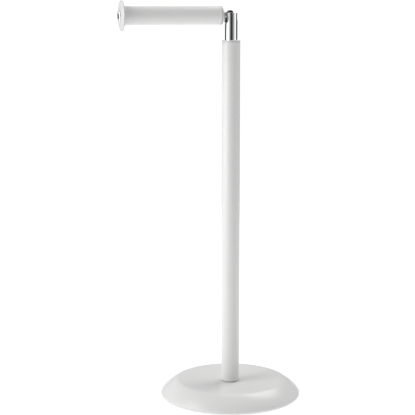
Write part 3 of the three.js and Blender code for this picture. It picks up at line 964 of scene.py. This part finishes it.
HIGH_EDGE = (8, 12)  # degrees above level over which the low walls give way to the high ones
WALL_TOP = (34, 42)  # and these to a dim band
BAND = 0.5
CEILING_EDGE = (56, 62)  # and the band to the ceiling
CEILING = 0.45
SEEN = 1.05  # how bright the surround looks to the camera itself
# Two softboxes: their bearing and height in degrees, seen from the base, and their power in watts. They
# throw the pole's faint shadows across the base and put a soft highlight on its crest.
SOFTBOXES = {"back_box": (136, 56, 9.0), "side_box": (-76, 42, 6.5)}
SOFTBOX_SIZE = 0.8
SOFTBOX_DISTANCE = 1.6
FLOOR_RADIUS = 1.6
FLOOR_GLOW = 0.92
FLOOR_Z = -0.3 * MM  # a hair below the pad, whose underside would otherwise lie in the same plane


def make_floor():
    """A pale floor, lit from within a little so that it stays pale in shade."""
    made = bmesh.new()
    bmesh.ops.create_circle(made, cap_ends=True, segments=128, radius=FLOOR_RADIUS)
    floor = piece("floor", made, Matrix.Translation((0, 0, FLOOR_Z)))
    surface = Surface("pale_floor", Roughness=1.0, Specular_IOR_Level=0.0, Emission_Strength=FLOOR_GLOW)
    surface.tint(surface.noise(400 * MM, 2), (0.20, 0.20, 0.20), (0.22, 0.22, 0.22))
    surface.shader.inputs["Emission Color"].default_value = (1, 1, 1, 1)
    floor.data.materials.append(surface.material)


def make_world(ahead, right):
    """A white surround: walls by bearing, a dim band, a ceiling, and plain white to the camera."""
    world = bpy.data.worlds.new("studio")
    bpy.context.scene.world = world
    world.use_nodes = True
    nodes, links = world.node_tree.nodes, world.node_tree.links
    direction = nodes.new("ShaderNodeTexCoord").outputs["Generated"]

    def along(axis):
        """How far the looked-at direction points along an axis."""
        node = nodes.new("ShaderNodeVectorMath")
        node.operation = "DOT_PRODUCT"
        links.new(direction, node.inputs[0])
        node.inputs[1].default_value = axis
        return node.outputs["Value"]

    def mixed(factor, first, second):
        """Between two strengths, each a number or a socket."""
        node = nodes.new("ShaderNodeMix")
        links.new(factor, node.inputs["Factor"])
        for socket, value in ((node.inputs["A"], first), (node.inputs["B"], second)):
            if isinstance(value, float):
                socket.default_value = value
            else:
                links.new(value, socket)
        return node.outputs["Result"]

    def above(edge):
        """From 0 to 1 between two heights in degrees."""
        node = nodes.new("ShaderNodeMapRange")
        node.interpolation_type = "SMOOTHSTEP"
        node.inputs["From Min"].default_value = math.sin(math.radians(edge[0]))
        node.inputs["From Max"].default_value = math.sin(math.radians(edge[1]))
        links.new(along((0, 0, 1)), node.inputs["Value"])
        return node.outputs["Result"]

    bearing = nodes.new("ShaderNodeMath")
    bearing.operation = "ARCTAN2"
    links.new(along(right), bearing.inputs[0])
    links.new(along(-ahead), bearing.inputs[1])
    share = nodes.new("ShaderNodeMapRange")
    share.inputs["From Min"].default_value = -math.pi
    share.inputs["From Max"].default_value = math.pi
    links.new(bearing.outputs["Value"], share.inputs["Value"])

    def by_bearing(strengths):
        """Strength at the looked-at bearing, from (bearing, strength) pairs."""
        ramp = nodes.new("ShaderNodeValToRGB")
        links.new(share.outputs["Result"], ramp.inputs["Fac"])
        stops = ramp.color_ramp.elements
        for _ in range(len(strengths) - len(stops)):
            stops.new(0.5)
        peak = max(strength for _, strength in strengths)
        for stop, (angle, strength) in zip(stops, strengths):
            stop.position = (angle + 180) / 360
            stop.color = (strength / peak, strength / peak, strength / peak, 1)
        scaled = nodes.new("ShaderNodeMath")
        scaled.operation = "MULTIPLY"
        scaled.inputs[1].default_value = peak
        links.new(ramp.outputs["Color"], scaled.inputs[0])
        return scaled.outputs["Value"]

    walls = mixed(above(HIGH_EDGE), by_bearing(LOW_WALLS), by_bearing(HIGH_WALLS))
    cast = mixed(above(CEILING_EDGE), mixed(above(WALL_TOP), walls, BAND), CEILING)
    seen = mixed(nodes.new("ShaderNodeLightPath").outputs["Is Camera Ray"], cast, SEEN)
    links.new(seen, nodes["Background"].inputs["Strength"])
    nodes["Background"].inputs["Color"].default_value = (1, 1, 1, 1)


def make_softbox(name, ahead, right):
    """A square soft light that faces the base."""
    bearing, lift, power = SOFTBOXES[name]
    turn, rise = math.radians(bearing), math.radians(lift)
    level = right * math.sin(turn) - ahead * math.cos(turn)
    towards = level * math.cos(rise) + Vector((0, 0, math.sin(rise)))
    light = bpy.data.lights.new(name, "AREA")
    light.size = SOFTBOX_SIZE
    light.energy = power
    box = bpy.data.objects.new(name, light)
    box.location = towards * SOFTBOX_DISTANCE
    box.rotation_euler = towards.to_track_quat("Z", "Y").to_euler()
    box.visible_camera = False
    bpy.context.scene.collection.objects.link(box)


make_floor()
ahead, right = make_camera()
make_world(ahead, right)
for name in SOFTBOXES:
    make_softbox(name, ahead, right)

bpy.context.scene.view_settings.view_transform = "Standard"
